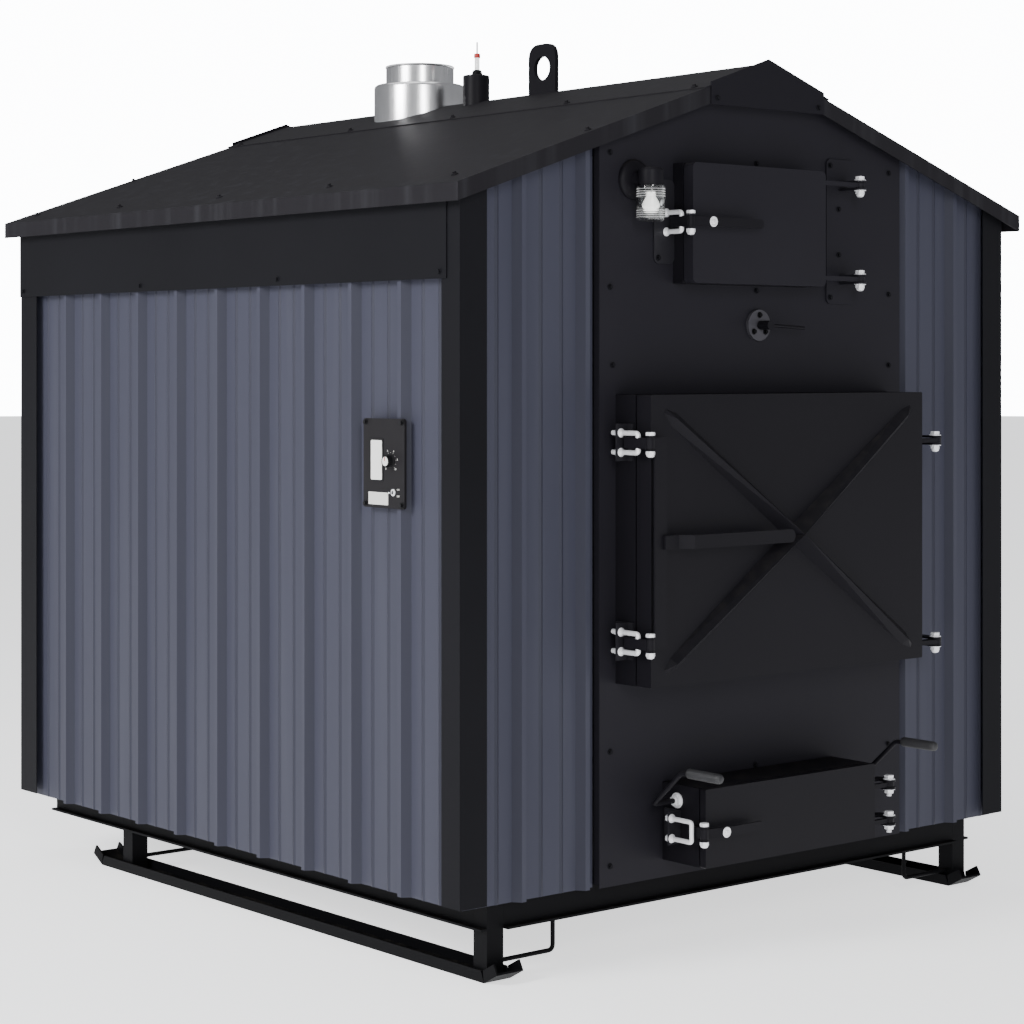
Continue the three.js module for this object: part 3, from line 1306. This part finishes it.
piece('ash_door', ashDoor, blackPaint(), ashGroup);

const ashLatch = strapLatch(
  ASH_LATCH_X, ASH_LATCH_Y, ASH_LATCH_Z,
  ASH_TONGUE_REACH, ASH_TONGUE_SET, ASH_HANDLE_FACE, ASH_HANDLE_END, TONGUE_HEIGHT - 3,
);
const ashLatchGroup = groupAt('ash_latch_pivot', ASH_LATCH_X, ASH_LATCH_Y, 0);
piece('ash_latch', ashLatch, blackPaint(), ashLatchGroup);

// The ash door's keeper: an angle on the frame's left wall with a U-bolt that faces forward.
function ashKeeper() {
  const wallX = ASH_LEFT - GAP;
  const flange = [ASH_KEEPER_FACE, ASH_KEEPER_FACE + SMALL_PLATE];
  const z = [ASH_LATCH_Z - KEEPER_HALF + 4, ASH_LATCH_Z + KEEPER_HALF - 4];
  const legs = [-1, 1].map((side) => ASH_LATCH_Z + side * U_BOLT_SPREAD);
  return joined(
    box([wallX - SMALL_PLATE, wallX], [flange[0], flange[0] + 50], z),
    box([wallX - KEEPER_WIDTH, wallX], flange, z),
    bentRod([
      [U_BOLT_X, U_BOLT_BACK, legs[0]],
      [U_BOLT_X, U_BOLT_FRONT, legs[0]],
      [U_BOLT_X, U_BOLT_FRONT, legs[1]],
      [U_BOLT_X, U_BOLT_BACK, legs[1]],
    ], U_BOLT_ROD, 7),
    ...legs.map((leg) => round('y', HOOK_ROD + 4, [flange[0] - 4, flange[0] + 0.5], [U_BOLT_X, leg])),
    ...legs.map((leg) => round('y', HOOK_ROD + 4, [flange[1] - 0.5, U_BOLT_BACK - 2], [U_BOLT_X, leg], 6)),
  );
}
piece('ash_keeper', ashKeeper(), zinc());

// ---------------------------------------------------------------- grate cranks

// side is -1 on the left and 1 on the right; wall is the outer face of the frame's side wall.
function crank(side, wall) {
  const outside = wall + side * CRANK_STANDOFF;
  const inside = wall - side * (ASH_BAND + 14);
  const elbow = [outside, CRANK_Y - CRANK_FORWARD, CRANK_Z + CRANK_RISE];
  const gripEnd = [outside, elbow[1] - GRIP_START - GRIP_LENGTH, elbow[2] + 5];
  const rod = bentRod([
    [inside, CRANK_Y, CRANK_Z],
    [outside, CRANK_Y, CRANK_Z],
    elbow,
    [gripEnd[0], gripEnd[1] + 8, gripEnd[2]],
  ], CRANK_ROD, 10);
  const collar = [wall + side * GAP, wall + side * 4].sort((a, b) => a - b);
  const armX = [inside, inside + side * 8].sort((a, b) => a - b);
  return joined(
    rod,
    round('x', 16, collar, [CRANK_Y, CRANK_Z]),
    box(armX, [CRANK_Y - 8, CRANK_Y + 8], [CRANK_Z - CRANK_ARM, CRANK_Z + 9]),
  );
}

// A rubber grip: a tube closed at its front end, pushed over the crank's rod.
function grip(side, wall) {
  const x = wall + side * CRANK_STANDOFF;
  const start = CRANK_Y - CRANK_FORWARD - GRIP_START;
  const z = CRANK_Z + CRANK_RISE + 2.5;
  const bore = CRANK_ROD + 3.5;
  const profile = [
    [bore, 0],
    [GRIP_RADIUS, 0],
    [GRIP_RADIUS, GRIP_LENGTH - 6],
    [GRIP_RADIUS * 0.7, GRIP_LENGTH],
    [0, GRIP_LENGTH],
    [0, GRIP_LENGTH - 5],
    [bore, GRIP_LENGTH - 5],
    [bore, 0],
  ].map(([r, h]) => new THREE.Vector2(r, h));
  const geometry = new THREE.LatheGeometry(profile, 16);
  geometry.rotateX(Math.PI).translate(x, start, z);
  return solidOf(geometry);
}

for (const [name, side, wall] of [['left', -1, ASH_LEFT], ['right', 1, ASH_RIGHT]]) {
  const group = groupAt(name + '_crank_shaft', wall, CRANK_Y, CRANK_Z);
  piece(name + '_crank', crank(side, wall), blackPaint(), group);
  piece(name + '_crank_grip', grip(side, wall), rubber(), group);
}

// ---------------------------------------------------------------- bypass damper

const damperFlange = round(
  'y', DAMPER_FLANGE, [-GAP - DAMPER_FLANGE_THICKNESS, -GAP], damperCentre, 32,
).subtract(round('y', DAMPER_SHAFT + RUNNING_GAP, [-20, 10], damperCentre));
piece('damper_flange', damperFlange, blackPaint());

const leverEnd = [DAMPER_X + DAMPER_LEVER_LENGTH, DAMPER_LEVER_Y, DAMPER_Z - 6];
const plateHalf = NECK_HALF - DAMPER_CLEARANCE;
const damper = joined(
  round('y', DAMPER_SHAFT, [DAMPER_HUB_FRONT + 2, NECK_REAR - DAMPER_CLEARANCE - 2], damperCentre),
  round('y', DAMPER_HUB, [DAMPER_HUB_FRONT, DAMPER_HUB_BACK], damperCentre),
  bentRod([
    [DAMPER_X, DAMPER_LEVER_Y, DAMPER_Z],
    [DAMPER_X + 50, DAMPER_LEVER_Y, DAMPER_Z - 2],
    leverEnd,
  ], DAMPER_LEVER_ROD, 8),
  box(
    [DAMPER_X - plateHalf + Math.abs(DAMPER_X), DAMPER_X + plateHalf - Math.abs(DAMPER_X)],
    [NECK_FRONT + DAMPER_CLEARANCE + 20, NECK_REAR - DAMPER_CLEARANCE],
    [DAMPER_Z - DAMPER_PLATE / 2, DAMPER_Z + DAMPER_PLATE / 2],
  ),
);
const damperGroup = groupAt('damper_shaft', DAMPER_X, 0, DAMPER_Z);
piece('damper_lever', damper, blackPaint(), damperGroup);

// ---------------------------------------------------------------- lamp

function lathe(profile, sides) {
  const points = profile.map(([r, h]) => new THREE.Vector2(r, h));
  const geometry = new THREE.LatheGeometry(points, sides);
  geometry.rotateX(Math.PI / 2);
  return geometry;
}

const canopyProfile = [
  [0, 0],
  [CANOPY_RADIUS, 0],
  [CANOPY_RADIUS, 5],
  [CANOPY_RADIUS - 3, 9],
  [CANOPY_RADIUS - 16, CANOPY_DEPTH],
  [0, CANOPY_DEPTH],
];
const canopy = lathe(canopyProfile, LAMP_SIDES);
canopy.rotateX(Math.PI / 2);
canopy.translate(LAMP_X, -GAP, LAMP_Z);
const socketZ = [SOCKET_BOTTOM, SOCKET_TOP];
const fixture = joined(
  solidOf(canopy),
  round('y', NECK_RADIUS, [SOCKET_Y, -GAP - CANOPY_DEPTH + 2], [LAMP_X, LAMP_Z + 3]),
  round('z', SOCKET_RADIUS, socketZ, [LAMP_X, SOCKET_Y], LAMP_SIDES),
  round('z', COLLAR_RADIUS, [SOCKET_BOTTOM - COLLAR_DROP, SOCKET_BOTTOM + 1], [LAMP_X, SOCKET_Y], LAMP_SIDES),
);
piece('lamp_fixture', fixture, blackPaint());

const jarTop = SOCKET_BOTTOM - GAP;
const jarHeight = jarTop - JAR_BOTTOM;
const jarInner = JAR_RADIUS - JAR_RIB - JAR_WALL;
const ribProfile = Array.from({ length: 2 * JAR_RIBS + 1 }, (_, k) => [
  JAR_RADIUS - (k % 2 === 0 ? JAR_RIB : 0),
  8 + ((jarHeight - 16) * k) / (2 * JAR_RIBS),
]);
const jarProfile = [
  [0, 0],
  [JAR_RADIUS - 8, 0],
  [JAR_RADIUS - 3, 3],
  ...ribProfile,
  [JAR_RADIUS - JAR_RIB, jarHeight],
  [jarInner, jarHeight],
  [jarInner, 8],
  [jarInner - 5, JAR_WALL],
  [0, JAR_WALL],
];
const jar = lathe(jarProfile, LAMP_SIDES);
jar.translate(LAMP_X, SOCKET_Y, JAR_BOTTOM);
piece('lamp_jar', solidOf(jar), new THREE.MeshStandardMaterial({
  color: 0xe8eef0,
  roughness: 0.05,
  metalness: 0,
  transparent: true,
  opacity: 0.35,
}));

const bulbTop = SOCKET_BOTTOM - COLLAR_DROP - GAP - BULB_BOTTOM;
const bulbCurve = new THREE.SplineCurve([
  new THREE.Vector2(0, 0),
  new THREE.Vector2(BULB_RADIUS * 0.7, 5),
  new THREE.Vector2(BULB_RADIUS, 18),
  new THREE.Vector2(BULB_RADIUS * 0.86, 31),
  new THREE.Vector2(BULB_RADIUS * 0.62, 42),
  new THREE.Vector2(BULB_RADIUS * 0.58, bulbTop),
]);
const bulbProfile = bulbCurve.getPoints(10).map((p) => [Math.max(p.x, 0), p.y]);
bulbProfile[0] = [0, 0];
const bulb = lathe([...bulbProfile, [0, bulbTop]], LAMP_SIDES - 8);
bulb.translate(LAMP_X, SOCKET_Y, BULB_BOTTOM);
piece('lamp_bulb', solidOf(bulb), paint(0xf4f4f2, 0.3, 0));

// ---------------------------------------------------------------- control plate

const controlBack = -(crestPlane + GAP);
const controlFace = controlBack - CONTROL_THICKNESS;
const controlPlate = prism('x', roundedRectangle(
  [CONTROL_FRONT, CONTROL_REAR], [CONTROL_BOTTOM, CONTROL_TOP], 7,
), [controlFace, controlBack], 4)
  .subtract(round('x', SWITCH_BALL + RUNNING_GAP, [controlFace - 5, controlBack + 5], [SWITCH_Y, SWITCH_Z]));
piece('control_plate', controlPlate, blackPaint());

const knobBack = controlFace - GAP;
const knob = joined(
  round('x', KNOB_RADIUS, [knobBack - KNOB_HEIGHT, knobBack], [KNOB_Y, KNOB_Z], 24, KNOB_RADIUS),
  box(
    [knobBack - KNOB_HEIGHT - 3, knobBack - 2],
    [KNOB_Y - 3, KNOB_Y + 3],
    [KNOB_Z - KNOB_RADIUS + 1, KNOB_Z + KNOB_RADIUS - 1],
  ),
);
const knobGroup = groupAt('control_knob_shaft', knobBack, KNOB_Y, KNOB_Z);
piece('control_knob', knob, paint(0xe6e6e2, 0.4, 0), knobGroup);

const ballX = (controlBack + controlFace) / 2;
const ball = new THREE.SphereGeometry(SWITCH_BALL, 12, 8);
ball.translate(ballX, SWITCH_Y, SWITCH_Z);
const toggle = joined(
  solidOf(ball),
  round('x', 2.6, [controlFace - SWITCH_LENGTH, ballX], [SWITCH_Y, SWITCH_Z], 12, 1.8),
);
const toggleGroup = groupAt('control_switch_pivot', ballX, SWITCH_Y, SWITCH_Z);
piece('control_switch', toggle, paint(0xc8c8cc, 0.3, 0.8), toggleGroup);

// ---------------------------------------------------------------- chimney, vent and lug

const chimneyCentre = [0, CHIMNEY_Y];
const capClear = aboveSlopes((x) => capTop(x) + GAP, [CHIMNEY_Y - 200, CHIMNEY_Y + 200]);
const chimneyOuter = round('z', CHIMNEY_OUTER, [SMOKE_ROOF, CHIMNEY_TOP], chimneyCentre, 40)
  .subtract(round(
    'z', CHIMNEY_OUTER - CHIMNEY_WALL, [SMOKE_ROOF - 1, CHIMNEY_TOP - CHIMNEY_WALL], chimneyCentre, 40,
  ))
  .subtract(round('z', FLUE_OUTER + GAP, [SMOKE_ROOF, CHIMNEY_TOP + 1], chimneyCentre, 32))
  .intersect(capClear);
piece('chimney_outer', chimneyOuter, stainless());

const flueInner = round('z', FLUE_OUTER, [VESSEL_TOP + GAP, FLUE_TOP], chimneyCentre, 32)
  .subtract(round('z', FLUE_OUTER - CHIMNEY_WALL, [VESSEL_TOP, FLUE_TOP + 1], chimneyCentre, 32));
piece('chimney_inner', flueInner, stainless());

const ventCentre = [0, VENT_Y];
const sightY = VENT_Y + SIGHT_OFFSET;
const sightCentre = [0, sightY];
const saddleX = [-SADDLE_WIDTH / 2, SADDLE_WIDTH / 2];
const ventStack = joined(
  round('z', VENT_RADIUS, [VESSEL_TOP + GAP, VENT_TOP], ventCentre),
  box(saddleX, [sightY - SADDLE_WIDTH / 2, sightY + SADDLE_WIDTH / 2], [VENT_TOP - 1, VENT_TOP + SADDLE_HEIGHT]),
  round('z', SIGHT_RADIUS, [VENT_TOP, SIGHT_TOP], sightCentre),
)
  .subtract(round('z', VENT_RADIUS - VENT_WALL, [VESSEL_TOP, VENT_TOP - VENT_WALL], ventCentre))
  .subtract(round('z', SIGHT_RADIUS - SIGHT_WALL, [VENT_TOP + SADDLE_HEIGHT - 2, SIGHT_TOP + 1], sightCentre))
  .subtract(round('z', FLOAT_ROD + RUNNING_GAP, [VENT_TOP - 10, SIGHT_TOP + 1], sightCentre));
piece('vent_stack', ventStack, blackPaint());

// The float hangs in the vent; its rod shows the water level above the sight tube.
const floatBall = new THREE.SphereGeometry(FLOAT_BALL, 16, 10);
floatBall.translate(0, sightY, FLOAT_BALL_Z);
const level = joined(
  solidOf(floatBall),
  round('z', FLOAT_ROD, [FLOAT_BALL_Z, FLOAT_ROD_TOP], sightCentre),
);
const floatGroup = groupAt('level_float_guide', 0, sightY, FLOAT_BALL_Z);
piece('level_float', level, paint(0xb8302a, 0.4, 0), floatGroup);

const lugShape = new THREE.Shape();
const lugArc = LUG_TOP - LUG_HALF;
lugShape.moveTo(LUG_Y - LUG_HALF, VESSEL_TOP + GAP);
lugShape.lineTo(LUG_Y + LUG_HALF, VESSEL_TOP + GAP);
lugShape.lineTo(LUG_Y + LUG_HALF, lugArc + 18);
lugShape.quadraticCurveTo(LUG_Y + LUG_HALF - 2, LUG_TOP, LUG_Y + 12, LUG_TOP);
lugShape.lineTo(LUG_Y - 12, LUG_TOP);
lugShape.quadraticCurveTo(LUG_Y - LUG_HALF + 2, LUG_TOP, LUG_Y - LUG_HALF, lugArc + 18);
const lug = prism('x', lugShape, [-LUG_THICKNESS / 2, LUG_THICKNESS / 2], 8)
  .subtract(round('x', LUG_HOLE, [-20, 20], [LUG_Y, LUG_HOLE_Z], 32));
piece('lifting_lug', lug, blackPaint());

// ---------------------------------------------------------------- origin

// The origin is the middle of the bounding box's underside, where the skids stand.
const bounds = new THREE.Box3().setFromObject(boiler, true);
const middle = bounds.getCenter(new THREE.Vector3());
const outdoorBoiler = new THREE.Group();
outdoorBoiler.name = 'outdoor_wood_boiler';
boiler.position.set(-middle.x, -middle.y, -bounds.min.z);
outdoorBoiler.add(boiler);

export default outdoorBoiler;
